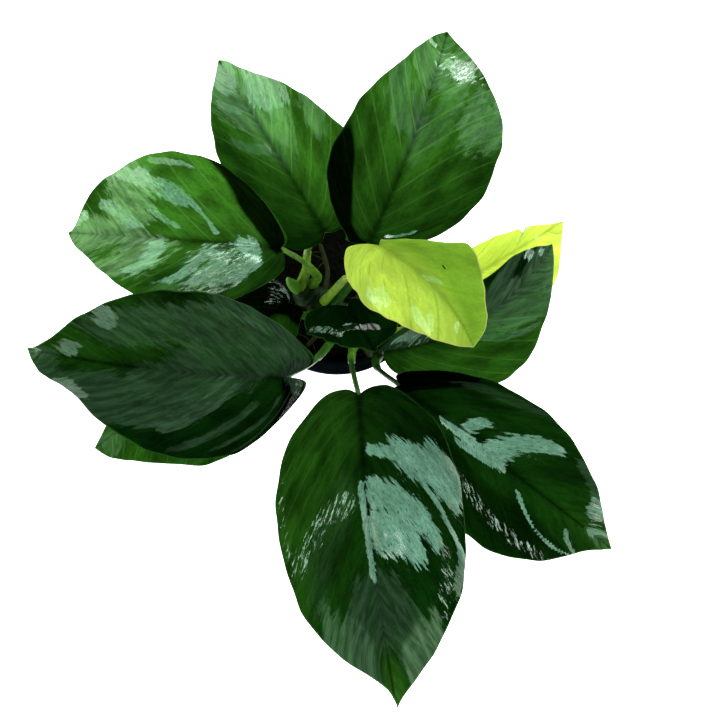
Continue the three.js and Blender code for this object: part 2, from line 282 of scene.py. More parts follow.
# Radius and height of each point: up the outside, over the rim and down the inside
POT_PROFILE = [
    (0, 0), (16.4, 0), (17.2, 0.15), (17.8, 0.6), (18.1, 1.2), (wall_radius(48.2), 48.2),
    (25.1, 48.45), (26.6, 48.5), (27, 48.2), (27, 47), (27.2, 46.9), (27.8, 46.9), (28, 47.1),
    (28, 49.3), (27.8, 49.8), (27.3, 50), (24.6, 50), (24.1, 49.85), (23.8, 49.5),
    (wall_radius(FLOOR) - WALL + 0.4, 2), (wall_radius(FLOOR) - WALL - 0.2, FLOOR), (0, FLOOR),
]
pot = place_mesh("net_pot_moulded", turned(POT_PROFILE, POT_STEPS), black_polypropylene())
cutters = slot_cutters()
cut = pot.modifiers.new("slots", "BOOLEAN")
cut.operation, cut.solver, cut.object = "DIFFERENCE", "EXACT", cutters
finished(pot)
bpy.data.objects.remove(cutters)
pot.data.shade_smooth()
pot.data.set_sharp_from_angle(angle=CREASE)
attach(pot, "root")
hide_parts("net_pot")


# Growing medium: wet black aquatic soil that fills the pot, a lumpy bed with loose crumbs on it
# and in the slots. Geometry nodes roughen the bed and strew the crumbs.
MEDIUM_TOP, MEDIUM_BOTTOM, MEDIUM_STEPS = 44.6, 2, 96
GAP_BY_SLOTS, GAP_ABOVE_SLOTS, SLOTS_END = 0.7, 0.15, 36
# Radius and height of each point: up beside the wall, and in over the top
MEDIUM_PROFILE = [(0, MEDIUM_BOTTOM), (16.2, MEDIUM_BOTTOM)]
for z in np.linspace(2.5, 43.6, 40):
    gap = GAP_BY_SLOTS if z < SLOTS_END else GAP_ABOVE_SLOTS
    MEDIUM_PROFILE.append((wall_radius(z) - WALL - gap, z))
MEDIUM_PROFILE += [(r, MEDIUM_TOP) for r in np.linspace(21.6, 0.8, 24)] + [(0, MEDIUM_TOP)]
CRUMBS = {
    "Roughness height": 1.1, "Roughness size": 3.5, "Crumb radius": 0.85, "Crumbs per mm2": 0.2,
}
CRUMB_LUMPS = (0.9, 0.9, 4.0)
SMALLEST_CRUMB, LARGEST_CRUMB = (0.4, 0.4, 0.3), (1.5, 1.2, 0.9)


def new_tree(name, inputs):
    """A geometry nodes tree with its geometry and named inputs, and the outputs that give them."""
    tree = bpy.data.node_groups.new(name, "GeometryNodeTree")
    for title, kind in {"Geometry": "Geometry", **inputs}.items():
        tree.interface.new_socket(title, in_out="INPUT", socket_type=f"NodeSocket{kind}")
    tree.interface.new_socket("Geometry", in_out="OUTPUT", socket_type="NodeSocketGeometry")
    return tree, add(tree, "NodeGroupInput").outputs


def end_tree(tree, geometry, material):
    """Ends a tree in real geometry with its material."""
    real = add(tree, "GeometryNodeRealizeInstances", {"Geometry": geometry})
    skin = add(tree, "GeometryNodeSetMaterial", {"Geometry": real, "Material": material})
    add(tree, "NodeGroupOutput", {"Geometry": skin})
    return tree


def set_inputs(modifier, values):
    """The inputs of a geometry nodes modifier, by the names of its sockets."""
    for item in modifier.node_group.interface.items_tree:
        if item.in_out == "INPUT" and item.name in values:
            modifier[item.identifier] = values[item.name]


def bumpy(tree, geometry, height, size, seed):
    """Pushes points along their normals by a noise of the given height and size in millimetres."""
    place = add(tree, "GeometryNodeInputPosition")
    scale = add(tree, "ShaderNodeMath", {0: 1 / MM, 1: size}, operation="DIVIDE")
    waves = {"Vector": place, "W": seed, "Scale": scale, "Detail": 3}
    noise = add(tree, "ShaderNodeTexNoise", waves, noise_dimensions="4D")
    centred = add(tree, "ShaderNodeMath", {0: noise, 1: 0.5}, operation="SUBTRACT")
    metres = add(tree, "ShaderNodeMath", {0: height, 1: MM}, operation="MULTIPLY")
    lift = add(tree, "ShaderNodeMath", {0: centred, 1: metres}, operation="MULTIPLY")
    normal = add(tree, "GeometryNodeInputNormal")
    offset = add(tree, "ShaderNodeVectorMath", {0: normal, 3: lift}, operation="SCALE")
    return add(tree, "GeometryNodeSetPosition", {"Geometry": geometry, "Offset": offset})


def crumb_tree():
    inputs = {name: "Float" for name in CRUMBS}
    tree, source = new_tree("crumbly soil", {**inputs, "Seed": "Int", "Soil": "Material"})
    height, size = source["Roughness height"], source["Roughness size"]
    bed = bumpy(tree, source["Geometry"], height, size, 1.0)
    count = {0: source["Crumbs per mm2"], 1: 1 / MM**2}
    density = add(tree, "ShaderNodeMath", count, operation="MULTIPLY")
    strew = {"Mesh": bed, "Density": density, "Seed": source["Seed"]}
    points = add(tree, "GeometryNodeDistributePointsOnFaces", strew)
    ball = add(tree, "GeometryNodeMeshIcoSphere", {"Radius": MM, "Subdivisions": 2})
    crumb = bumpy(tree, ball, *CRUMB_LUMPS)
    any_way = {1: (6.28, 6.28, 6.28), "Seed": 5}
    turn = add(tree, "FunctionNodeRandomValue", any_way, data_type="FLOAT_VECTOR")
    sizes = {0: SMALLEST_CRUMB, 1: LARGEST_CRUMB, "Seed": 6}
    shape = add(tree, "FunctionNodeRandomValue", sizes, data_type="FLOAT_VECTOR")
    radius = {0: shape, 3: source["Crumb radius"]}
    scale = add(tree, "ShaderNodeVectorMath", radius, operation="SCALE")
    spread = {"Points": points, "Instance": crumb, "Rotation": turn, "Scale": scale}
    crumbs = add(tree, "GeometryNodeInstanceOnPoints", spread)
    both = add(tree, "GeometryNodeJoinGeometry")
    for part in (crumbs, bed):
        tree.links.new(part.outputs[0], both.inputs[0])
    return end_tree(tree, both, source["Soil"])


def wet_soil():
    """Wet peaty soil: nearly black crumbs with brown fibres, damp here and dry there.

    The grain is about 1 mm, and the damp patches about 7 mm.
    """
    material, tree = new_material("wet black aquatic soil")
    place = add(tree, "ShaderNodeTexCoord").outputs["Object"]
    fine = {"Vector": place, "Scale": 900, "Detail": 6, "Roughness": 0.7}
    grain = add(tree, "ShaderNodeTexNoise", fine)
    damp = add(tree, "ShaderNodeTexNoise", {"Vector": place, "Scale": 150, "Detail": 2})
    browns = {0: grain, 6: linear("030302"), 7: linear("130d09")}
    colour = add(tree, "ShaderNodeMix", browns, data_type="RGBA").outputs[2]
    rough = add(tree, "ShaderNodeMapRange", {0: damp, 1: 0.4, 2: 0.65, 3: 0.45, 4: 0.9})
    bump = add(tree, "ShaderNodeBump", {"Height": grain, "Distance": 0.2 * MM, "Strength": 0.7})
    skin = {"Base Color": colour, "Roughness": rough, "Specular IOR Level": 0.04, "Normal": bump}
    soil = add(tree, "ShaderNodeBsdfPrincipled", skin)
    add(tree, "ShaderNodeOutputMaterial", {"Surface": soil})
    return material


medium = place_mesh("growing_medium_soil", turned(MEDIUM_PROFILE, MEDIUM_STEPS))
strewn = medium.modifiers.new("crumbs", "NODES")
strewn.node_group = crumb_tree()
set_inputs(strewn, {**CRUMBS, "Seed": 3, "Soil": wet_soil()})
finished(medium)
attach(medium, "root")
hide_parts("growing_medium")


# Rhizome: a fleshy green stem that creeps over the soil, ringed by the scars of old leaves.
# Stems, stalks and roots are all swept by one geometry nodes tree.
RHIZOME_LINE = [
    (14.8, -20.4, 49.6), (11.5, -18, 50), (5, -13, 50.6), (-3, -7, 51.6), (-9, -3, 53.5),
    (-11.5, -1.5, 56.5),
]
RHIZOME_RADIUS, RHIZOME_SCAR, SCARS = 4.3, 0.35, 6
RHIZOME_END, OLD_END_SHARE, NEW_END_SHARE = 0.3, 0.12, 0.22
RHIZOME_STEPS, RHIZOME_SIDES, RHIZOME_LUMPS = 121, 40, (0.7, 3.0, 2.0)
STEM_INPUTS = {
    "Sides": "Int", "Lump height": "Float", "Lump size": "Float", "Lump seed": "Float",
    "Skin": "Material",
}


def spline(points, u):
    """Points at shares u of the way along a smooth line through the given points."""
    points = np.array(points, float)
    last = len(points) - 1
    place = np.asarray(u, float) * last
    i = np.minimum(place.astype(int), last - 1)
    w = (place - i).reshape(-1, 1)
    p0, p1, p2, p3 = (points[np.clip(i + k, 0, last)] for k in (-1, 0, 1, 2))
    v0, v1 = (p2 - p0) / 2, (p3 - p1) / 2
    cubic = (2 * p1 - 2 * p2 + v0 + v1) * w**3 + (-3 * p1 + 3 * p2 - 2 * v0 - v1) * w**2
    return cubic + v0 * w + p1


def sweep_tree():
    tree, source = new_tree("swept stem", STEM_INPUTS)
    line = add(tree, "GeometryNodeMeshToCurve", {"Mesh": source["Geometry"]})
    circle = {"Resolution": source["Sides"], "Radius": 1.0}
    ring = add(tree, "GeometryNodeCurvePrimitiveCircle", circle)
    thickness = add(tree, "GeometryNodeInputNamedAttribute", {"Name": "thickness"})
    sweep = {"Curve": line, "Profile Curve": ring, "Scale": thickness, "Fill Caps": True}
    tube = add(tree, "GeometryNodeCurveToMesh", sweep)
    lumpy = bumpy(tree, tube, *(source[f"Lump {name}"] for name in ("height", "size", "seed")))
    smooth = add(tree, "GeometryNodeSetShadeSmooth", {"Geometry": lumpy})
    return end_tree(tree, smooth, source["Skin"])


SWEEP = sweep_tree()


def swept(name, lines, skin, sides, lumps):
    """One mesh of swept stems; each line has its points, radii and ages (0 mature to 1 young).

    lumps are the height, size and seed of its unevenness.
    """
    points, edges, radii, ages = [], [], [], []
    for line, radius, age in lines:
        start = len(points)
        points += [tuple(p) for p in np.asarray(line) * MM]
        edges += [(start + k, start + k + 1) for k in range(len(line) - 1)]
        radii += list(np.asarray(radius) * MM)
        ages += list(np.broadcast_to(age, len(line)))
    mesh = bpy.data.meshes.new(name)
    mesh.from_pydata(points, edges, [])
    for key, values in (("thickness", radii), ("age", ages)):
        mesh.attributes.new(key, "FLOAT", "POINT").data.foreach_set("value", values)
    piece = bpy.data.objects.new(name, mesh)
    bpy.context.collection.objects.link(piece)
    sweep = piece.modifiers.new("sweep", "NODES")
    sweep.node_group = SWEEP
    set_inputs(sweep, dict(zip(STEM_INPUTS, (sides, *lumps, skin))))
    return finished(piece)


def stem_skin(name, colours, mottle, roughness, grain):
    """Living plant skin: colours run from mature to young along the stem, with soft mottling.

    The mottling is about 3 mm from patch to patch, and grain is its fine grain in waves per metre.
    """
    material, tree = new_material(name)
    place = add(tree, "ShaderNodeTexCoord").outputs["Object"]
    age = add(tree, "ShaderNodeAttribute", attribute_name="age").outputs["Fac"]
    patches = add(tree, "ShaderNodeTexNoise", {"Vector": place, "Scale": 300, "Detail": 4})
    fine = add(tree, "ShaderNodeTexNoise", {"Vector": place, "Scale": grain, "Detail": 4})
    ramp = add(tree, "ShaderNodeValToRGB", {0: age})
    for k, colour in enumerate(colours):
        stop = ramp.color_ramp.elements[k] if k < 2 else ramp.color_ramp.elements.new(1)
        stop.position = k / (len(colours) - 1)
        stop.color = linear(colour)
    amount = add(tree, "ShaderNodeMapRange", {0: patches, 1: 0.4, 2: 0.75, 3: 0.0, 4: 0.7})
    greens = {0: amount, 6: ramp, 7: linear(mottle)}
    colour = add(tree, "ShaderNodeMix", greens, data_type="RGBA").outputs[2]
    bump = add(tree, "ShaderNodeBump", {"Height": fine, "Distance": 0.15 * MM, "Strength": 0.5})
    skin = {"Base Color": colour, "Roughness": roughness, "Specular IOR Level": 0.06}
    flesh = add(tree, "ShaderNodeBsdfPrincipled", {**skin, "Normal": bump})
    add(tree, "ShaderNodeOutputMaterial", {"Surface": flesh})
    return material


# Fleshy skin: very dark green and half dull, a little paler on the rings
RHIZOME_SKIN = stem_skin("fleshy rhizome skin", ["0c1606", "1c2e0c"], "0a0c06", 0.5, 1500)
along = np.linspace(0, 1, RHIZOME_STEPS)
scars = np.cos(along * SCARS * 2 * math.pi)
end = np.minimum(1, np.minimum(along / OLD_END_SHARE, (1 - along) / NEW_END_SHARE))
radii = RHIZOME_RADIUS - RHIZOME_END + RHIZOME_SCAR * scars**3
radii = RHIZOME_END + radii * np.sqrt(1 - (1 - end) ** 2)
rhizome_line = (spline(RHIZOME_LINE, along), radii, 0.5 + 0.5 * scars)
rhizome = swept("rhizome_stem", [rhizome_line], RHIZOME_SKIN, RHIZOME_SIDES, RHIZOME_LUMPS)
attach(rhizome, "root")
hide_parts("rhizome")


# Anchor roots: thick pale roots that leave the rhizome and run over the soil into it, with finer
# branches beside them.
ROOT_LINES = [
    [(-3.2, -13.2, 48.2), (-6.5, -16, 47.6), (-9, -18.5, 47)],
    [(-13.6, -7.5, 49), (-16.5, -9.5, 47.8), (-19.5, -8.5, 47)],
    [(-3.5, -0.2, 48.6), (-3, 5, 47.4), (-5, 12, 47)],
    [(4.8, -6, 48.2), (8.5, -1.5, 47.4), (14, 2, 47)],
]
ROOT_RADIUS, ROOT_TAPER, ROOT_TIP_SHARE, ROOT_DIVE = 0.9, 0.35, 0.06, 1.6
ROOT_STEPS, ROOT_SIDES, ROOT_LUMPS = 40, 12, (0.25, 1.6)
# Each branch leaves its root at a share in BRANCH_SHARES and wanders down in strides
BRANCHES, BRANCH_SHARES, BRANCH_STEPS = 5, (0.15, 0.9), 16
BRANCH_RADIUS, BRANCH_TAPER = 0.22, 0.7
STRIDES, STRIDE_TURN, STRIDE_SINK = (2.5, 3.0, 3.0), 0.7, 0.5

# Wet root skin: dull brown-olive, paler towards the growing end
ROOT_SKIN = stem_skin("pale root skin", ["20240f", "3c3e26"], "1a150c", 0.6, 1800)
rng = np.random.default_rng(5)
for number, points in enumerate(ROOT_LINES, start=1):
    inner, middle, outer = (np.array(p, float) for p in points)
    start = inner + (inner - middle) * 0.5
    t = np.linspace(0, 1, ROOT_STEPS)
    radii = ROOT_RADIUS * (1 - ROOT_TAPER * t) * np.sqrt(np.clip((1 - t) / ROOT_TIP_SHARE, 0.02, 1))
    course = [start, inner, middle, outer, outer + (0, 0, -ROOT_DIVE)]
    lines = [(spline(course, t), radii, 0.3 + 0.7 * t)]
    for _ in range(BRANCHES):
        share = rng.uniform(*BRANCH_SHARES)
        foot = spline([inner, middle, outer], [share])[0]
        turn = rng.uniform(0, 2 * math.pi)
        ends = [foot]
        for step in STRIDES:
            turn += rng.uniform(-STRIDE_TURN, STRIDE_TURN)
            ends.append(ends[-1] + (step * math.cos(turn), step * math.sin(turn), -STRIDE_SINK))
        thin = np.linspace(0, 1, BRANCH_STEPS)
        lines.append((spline(ends, thin), BRANCH_RADIUS * (1 - BRANCH_TAPER * thin), 1.0))
    lumps = (*ROOT_LUMPS, number)
    root = swept(f"anchor_root_{number}_skin", lines, ROOT_SKIN, ROOT_SIDES, lumps)
    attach(root, "root")
    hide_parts(f"anchor_root_{number}")


# Leaf blades: thick leathery hearts, glossy above and paler below, with a sunken midrib, side veins
# that sweep forward to the margin, and a thin pale rim. Each is joined to the end of a stalk, which
# goes on as its midrib.

# Shares of the midrib where half widths are given, and where the veins to the outline leave it
STATIONS = [0, 0.12, 0.28, 0.46, 0.64, 0.8, 0.91, 0.97]
VEIN_ROOTS = [0, 0] + [station**1.7 for station in STATIONS] + [1]
# Cells along the rim, and from the midrib to the rim, where they crowd at the midrib
MARGIN_CELLS, VEIN_CELLS, RIB_CROWDING = 150, 34, 1.3
# Each half folds up from the midrib and curls down to its rim, which is uneven and a little wavy
FOLD, CURL = 0.34, 0.42
EDGE_UNEVEN, EDGE_FADE, RIM_WAVE = 0.16, 8, 0.3
# Side veins: how far apart they are, and how they bow back, sweep on, rise and wander
VEIN_SPACING, VEIN_BOW, VEIN_SWEEP, VEIN_RISE, VEIN_WANDER = 4.4, 0.1, 0.3, 0.16, 1.2
# Relief: ripples (length, height), swellings between the veins, and a groove over the midrib with
# a ridge in it. It fades where a half is narrow, and the ripples also fade at the midrib
RIPPLES = ((26, 0.3), (15, 0.2), (9, 0.12), (5.5, 0.06))
RIPPLES_PER_LENGTH, RIPPLE_FADE, RELIEF_FADE = 3, 4, 6
SWELLING, VEIN_RIDGE_BELOW = 0.1, 0.12
GROOVE_DEPTH, GROOVE_WIDTH, RIDGE_HEIGHT, RIDGE_WIDTH = 0.35, 1.1, 0.2, 0.5
# A blade thins to the rim, and where a half is narrower than THIN_BELOW; a keel runs below
MIDDLE_THICKNESS, RIM_THICKNESS, THIN_BELOW = 0.75, 0.3, 1.5
KEEL_HEIGHT, KEEL_WIDTH, KEEL_TAPER, KEEL_NARROWING = 0.9, 1.3, 0.85, 0.8
RIM_ROUNDING = 0.1
# The midrib's dark line is this wide at the joint and at the tip
RIB_WIDTH, RIB_TIP_WIDTH = 1.1, 0.3
FIRST_SEED, SEED_STEP = 11, 7
# How wide the soft edge of each kind of stroke is
GLOSS_EDGE, SHEEN_EDGE, FLECK_EDGE, SHADE_EDGE, SPECK_EDGE = 3.5, 7.0, 3.0, 2.5, 0.8
# Where each half's ages are given, and how far from the midrib the two halves blend
AGE_SHARES, AGE_BLEND = (0, 0.35, 0.7, 1), 0.35
CM = 0.1

# base, tip: the joint with the stalk, and the point; arch: how far the middle rises over a straight
# line between them; roll: degrees that the left side is raised; bend: how far the midrib bows left;
# left, right: how far back and out the lobe beside the joint is, and half widths at STATIONS;
# age: 0 mature to 1 young for each half at AGE_SHARES, with more light through a younger blade;
# gloss: polished strokes, each from one place to another (share from joint 0 to tip 1, share from
# midrib 0 to rim 1, minus for the right half), its half width in mm and its strength;
# sheen: the same for a painted sheen, a soft reflection painted into the colour; flecks: the same,
# without strength, for areas of bright flecks; shade: the same for painted shade, where a blade
# lies so close over its neighbour that little light comes through; specks: brown marks;
# bites: nicks in the left half's rim (share round it, depth, share wide)
PLAIN_LEAF = dict(roll=0, bend=0, gloss=[], sheen=[], flecks=[], shade=[], specks=[], bites=[])
LEAVES = {
    "back_left": dict(
        base=(-3, 12.5, 98), tip=(-34, 63.5, 84), arch=4,
        age=((0, 0.15, 0.45, 0.5), (0, 0.45, 0.85, 0.55)),
        left=((2, 3), (9.5, 14, 16, 16, 13.5, 9.5, 4.5, 1.5)),
        right=((1.5, 4.5), (8, 16, 20.5, 18.5, 15, 9, 4, 2)),
        gloss=[
            (0.7, -0.5, 0.6, -0.9, 3, 0.6), (0.78, 0.8, 0.84, 0.1, 3, 0.6),
            (0.9, -0.2, 0.86, -0.8, 2, 0.5), (0.57, 0.65, 0.6, 0.1, 0.8, 0.2),
            (0.68, 0.75, 0.7, 0.3, 0.8, 0.3),
        ],
        sheen=[
            (0.72, 0.8, 0.8, -0.3, 5, 0.3), (0.88, 0.8, 0.88, -0.6, 4, 0.4),
            (0.62, -0.5, 0.75, -0.9, 4, 0.35), (0.43, -0.95, 0.46, -0.8, 2.5, 0.3),
            (0.6, -0.15, 0.7, 0.2, 4, 0.15),
        ],
    ),
    "back_right": dict(
        base=(9.5, 8.5, 112), tip=(32, 70.5, 90), arch=5, bend=-1.5,
        age=((0.3, 0.4, 0.65, 0.55), (0.2, 0.25, 0.6, 0.6)),
        left=((1.5, 6), (7, 14.5, 18.5, 17.5, 14.5, 9, 5.5, 2.5)),
        right=((0.5, 1), (5.5, 16.5, 23.5, 25.5, 24.5, 18, 10, 3)),
        gloss=[
            (0.8, -0.25, 0.76, -0.5, 0.9, 1), (0.76, -0.5, 0.73, -0.8, 1.7, 1),
            (0.8, 0.95, 0.84, 0.5, 0.6, 1), (0.31, -0.2, 0.3, -0.5, 0.5, 0.8),
        ],
        sheen=[
            (0.6, 0.8, 0.65, 0.1, 3, 0.22), (0.74, 0.8, 0.78, 0.1, 4, 0.3),
            (0.6, -0.7, 0.52, -0.95, 4, 0.28), (0.78, -0.3, 0.76, -0.9, 4, 0.3),
            (0.6, -0.1, 0.7, -0.5, 3, 0.12), (0.9, 0.6, 0.9, -0.6, 3, 0.2),
        ],
        flecks=[(0.82, -0.1, 0.7, -0.9, 3.5)],
        shade=[(0.05, 0.98, 0.32, 0.73, 5, 1)],
    ),
    "left_upper": dict(
        base=(-15, 7.5, 106), tip=(-76.5, 13, 90), arch=4,
        age=((0.2, 0.35, 0.5, 0.5), (0.7, 1.0, 0.55, 0.6)),
        left=((1.5, 4), (7.5, 13, 16.5, 17.5, 16.5, 11, 6, 3)),
        right=((1.5, 2), (5.5, 14, 21, 24.5, 23.5, 18, 11.5, 2)),
        gloss=[
            (0.35, 0.4, 0.43, 0, 2.2, 1), (0.33, 0.8, 0.4, 0.45, 3, 0.8),
            (0.42, 0.75, 0.47, 0.25, 2.2, 0.8), (0.5, 0.8, 0.52, 0.15, 1.1, 0.8),
            (0.6, 0.7, 0.64, 0.1, 1.2, 0.8), (0.55, -0.45, 0.6, -0.95, 2, 0.7),
            (0.42, -0.85, 0.5, -0.92, 1, 0.5), (0.51, -0.1, 0.535, -0.45, 0.4, 0.8),
            (0.6, -0.15, 0.64, -0.35, 0.6, 0.7), (0.83, -0.8, 0.85, -0.98, 1.5, 0.8),
            (0.7, -0.2, 0.74, -0.6, 1.5, 0.6),
        ],
        sheen=[
            (0.64, 0.75, 0.66, 0.15, 3.5, 0.5), (0.84, 0.9, 0.87, -0.1, 6, 0.5),
            (0.59, -0.95, 0.7, -0.35, 3.5, 0.5), (0.72, -0.05, 0.8, -0.2, 3, 0.35),
            (0.45, 0.75, 0.5, 0.2, 3, 0.2), (0.9, -0.5, 0.9, -0.9, 4, 0.25),
        ],
        flecks=[(0.35, 0.7, 0.5, 0.2, 5)],
        shade=[(0.29, -0.4, 0.2, -0.85, 6.5, 1)],
    ),
    "left_lower": dict(
        base=(-13, -28, 116), tip=(-87, -20, 96), arch=5, bend=2,
        age=((0, 0, 0.02, 0.2), (0.05, 0.15, 0.2, 0.22)),
        left=((5.5, 1.5), (11, 20.5, 25, 24.5, 19.5, 11, 7.5, 4)),
        right=((7, 5), (11.5, 16.5, 20, 20, 17, 10.5, 3.5, 0.5)),
        gloss=[
            (0.78, -0.25, 0.74, -0.5, 1.3, 0.35), (0.61, -0.72, 0.56, -0.95, 1.3, 0.3),
            (0.92, -0.1, 0.9, -0.5, 1, 0.5), (0.6, 0.97, 0.7, 0.9, 1.2, 0.3),
        ],
        sheen=[
            (0.05, -0.5, 0.15, -0.85, 9, 0.13), (0.4, -0.3, 0.55, 0.25, 7, 0.11),
            (0.55, 0.9, 0.7, 0.8, 4, 0.1), (0.8, 0.9, 0.85, 0.5, 3, 0.15),
            (0.93, 0.8, 0.93, -0.6, 3, 0.26), (0.3, -0.6, 0.6, -0.6, 5, 0.12),
            (0.53, 0.6, 0.62, 0.65, 6, 0.13), (0.46, 0.1, 0.45, 0.7, 1.6, 0.2),
            (0.22, -0.68, 0.32, -0.8, 1, 0.2), (0.25, 0.35, 0.25, 0.85, 1.1, 0.1),
            (0.35, 0.35, 0.34, 0.9, 1.3, 0.11), (0.15, 0.5, 0.16, 0.9, 1, 0.1),
            (0.2, -0.3, 0.45, -0.35, 5, 0.1),
        ],
        flecks=[(-0.05, 0.95, 0.06, 0.7, 2.5)],
        shade=[(-0.28, 0.9, 0.1, 0.25, 8, 0.8), (0.05, -0.2, 0.22, 0.05, 3.5, 0.8)],
    ),
    "left_under": dict(
        base=(-13.5, -7, 88), tip=(-71.5, -49.5, 74), arch=3,
        age=((0.1, 0.2, 0.32, 0.5), (0.1, 0.2, 0.32, 0.5)),
        left=((2, 4), (6, 12.5, 20.5, 25.5, 24, 16, 9, 5)),
        right=((2, 3), (9, 13.5, 15, 13.5, 10.5, 7.5, 3, 1)),
        gloss=[(0.05, -0.6, 0.15, -0.3, 1, 0.9)],
        sheen=[(0.85, 0.4, 0.9, -0.2, 3, 0.25)],
        flecks=[(0, -0.8, 0.3, -0.2, 2.5)],
        shade=[(0, -0.35, 0.33, -0.6, 10, 1)],
    ),
    "front": dict(
        base=(6.5, -33, 116), tip=(17.5, -122, 96), arch=5, bend=-1.5,
        age=((0.08, 0.05, 0, 0.6), (0.25, 0.28, 0, 0.7)),
        left=((2, 5.5), (11, 20.5, 24, 24.5, 21.5, 14, 6, 1.5)),
        right=((2, 3.5), (10.5, 20.5, 25.8, 26, 23, 14.5, 3.5, 0.5)),
        gloss=[
            (0.24, 0.97, 0.33, 0.75, 3.2, 0.75), (0.32, 0.85, 0.4, 0.4, 3, 0.9),
            (0.4, 0.45, 0.43, 0.08, 1.1, 1), (0.41, 1, 0.4, 0.6, 0.9, 0.9),
            (0.475, 0.65, 0.51, 0.1, 2.5, 1), (0.54, 0.45, 0.57, 0.12, 3.3, 1),
            (0.5, -0.05, 0.64, -0.03, 0.8, 0.9), (0.42, 0.97, 0.5, 0.95, 1, 0.5),
        ],
        sheen=[
            (0.7, 0.8, 0.7, -0.9, 6, 0.13), (0.6, -0.9, 0.69, -0.75, 3.5, 0.25),
            (0.5, -0.3, 0.52, -0.7, 4, 0.04), (0.62, 0.95, 0.72, 0.85, 3.5, 0.35),
        ],
        flecks=[
            (0.51, -0.2, 0.44, -0.85, 2.8), (0.22, -0.93, 0.42, -0.93, 1.4),
            (0.47, 0.85, 0.55, 0.85, 3),
        ],
    ),
    "front_right": dict(
        base=(18, -30.5, 106), tip=(79, -77.5, 90), arch=4,
        age=((0, 0.03, 0.08, 0.5), (0, 0.03, 0.06, 0.5)),
        left=((2.5, 1.5), (5, 12, 17, 19, 17, 11.5, 5, 1.5)),
        right=((1, 2), (3, 11, 18, 21.5, 21, 15.5, 6, 2)),
        gloss=[
            (0.49, 0.33, 0.5, 0.08, 1.1, 0.9), (0.53, 0.78, 0.56, 0.5, 1, 0.9),
            (0.54, 0.66, 0.57, 0.1, 1.9, 1), (0.46, 0, 0.59, -0.03, 1.3, 1),
            (0.5, -0.12, 0.57, -0.1, 0.7, 0.9), (0.64, -0.18, 0.66, -0.5, 0.4, 1),
            (0.66, -0.5, 0.7, -1, 0.4, 1), (0.75, -0.4, 0.72, -0.95, 0.4, 0.7),
            (0.68, 0.95, 0.76, 0.65, 1, 0.6), (0.84, 0.55, 0.84, 0.1, 1.5, 0.5),
        ],
        sheen=[
            (0.84, 0.8, 0.84, 0.4, 2.5, 0.25), (0.9, 0.1, 0.88, -0.6, 3, 0.12),
            (0.55, 0.97, 0.75, 0.95, 1.2, 0.14), (0.3, 0.75, 0.38, 0.9, 2.2, 0.06),
        ],
        flecks=[(0.5, -0.5, 0.62, -0.9, 3), (0.68, 0.95, 0.8, 0.6, 2)],
        shade=[(0, 0.85, 0.25, 0.4, 7, 1), (0.4, -0.5, 0.6, -0.75, 9, 0.5)],
    ),
    "right": dict(
        base=(13.5, -21, 98), tip=(62.5, 10, 86), arch=4, roll=10, bend=-7,
        age=((0, 0, 0, 0.1), (0.15, 0.4, 0.35, 0.4)),
        left=((1, 1.5), (2, 2.5, 2.5, 2.5, 2, 3, 2, 0.5)),
        right=((1, 3.5), (7.5, 17, 23.5, 25.5, 22.5, 15.5, 8.5, 3.5)),
        gloss=[
            (0.7, 0.95, 0.76, 0.7, 0.8, 1), (0.82, 0.8, 0.86, 0.5, 0.6, 0.6),
            (0.25, 0.6, 0.4, 0.3, 0.7, 0.6), (0.57, -0.3, 0.58, -0.9, 0.8, 0.15),
        ],
        sheen=[
            (0.65, -0.15, 0.68, -0.9, 4, 0.22), (0.8, -0.2, 0.78, -0.95, 5, 0.24),
            (0.61, 0.8, 0.64, 0.1, 3, 0.18), (0.2, 0.5, 0.45, 0.3, 4, 0.1),
            (0.92, -0.1, 0.9, -0.8, 4, 0.2), (0.7, 0.25, 0.72, 0.1, 1.2, 0.25),
        ],
        flecks=[(0.7, 0.9, 0.78, 0.7, 1.5), (0.3, 0.5, 0.45, 0.1, 2.5)],
    ),
    "young_middle": dict(
        base=(12, 7, 122), tip=(38, -20, 110), arch=5, bend=3,
        age=((0.35, 0.25, 0.25, 0.25), (0.7, 0.85, 0.65, 0.35)),
        left=((0.8, 1.2), (2.2, 7, 12.5, 17.5, 15, 11, 8, 5)),
        right=((5.5, 6.5), (12, 13, 13.5, 11, 8.5, 5.5, 3, 1)),
        gloss=[
            (0.27, -0.85, 0.37, -0.7, 1.4, 0.6), (0.53, -0.9, 0.53, -0.7, 1.1, 0.6),
            (0.58, -0.8, 0.6, -0.6, 0.6, 0.5), (0.76, -0.15, 0.75, -0.45, 0.5, 0.5),
            (0.56, 0, 0.6, 0.15, 0.5, 0.4),
        ],
        sheen=[(0.1, -0.9, 0.6, -0.85, 3, 0.1), (0.6, -0.3, 0.7, -0.7, 3, 0.06)],
        specks=[(0.534, 0.41, 0.546, 0.4, 0.2, 1)],
    ),
    "young_right": dict(
        base=(26, -8, 84), tip=(67, 17.5, 76), arch=3,
        age=((1, 1, 1, 1), (1, 1, 1, 1)),
        left=((0.8, 1.5), (3, 6, 7, 7.5, 6, 4, 1.5, 0.5)),
        right=((1.5, 2), (6, 11, 15, 17, 16, 12, 5.5, 2)),
        gloss=[(0.6, 0.95, 0.62, 0.8, 0.5, 1), (0.76, 0.2, 0.77, -0.05, 0.4, 1)],
        bites=[(0.672, 1.1, 0.006), (0.662, 1.4, 0.005)],
    ),
    "centre": dict(
        base=(3.5, -8, 90), tip=(11.5, -21, 72), arch=7,
        age=((0, 0, 0, 0), (0, 0, 0, 0)),
        left=((1.5, 2), (4, 6.5, 9, 10.5, 11, 9.5, 7.5, 5.5)),
        right=((4.5, 10.5), (14, 13, 11, 9, 6.5, 3, 1.5, 0.5)),
        gloss=[
            (0.05, -0.9, 0.42, -0.7, 0.7, 1), (0.42, -0.7, 0.6, 0, 0.45, 1),
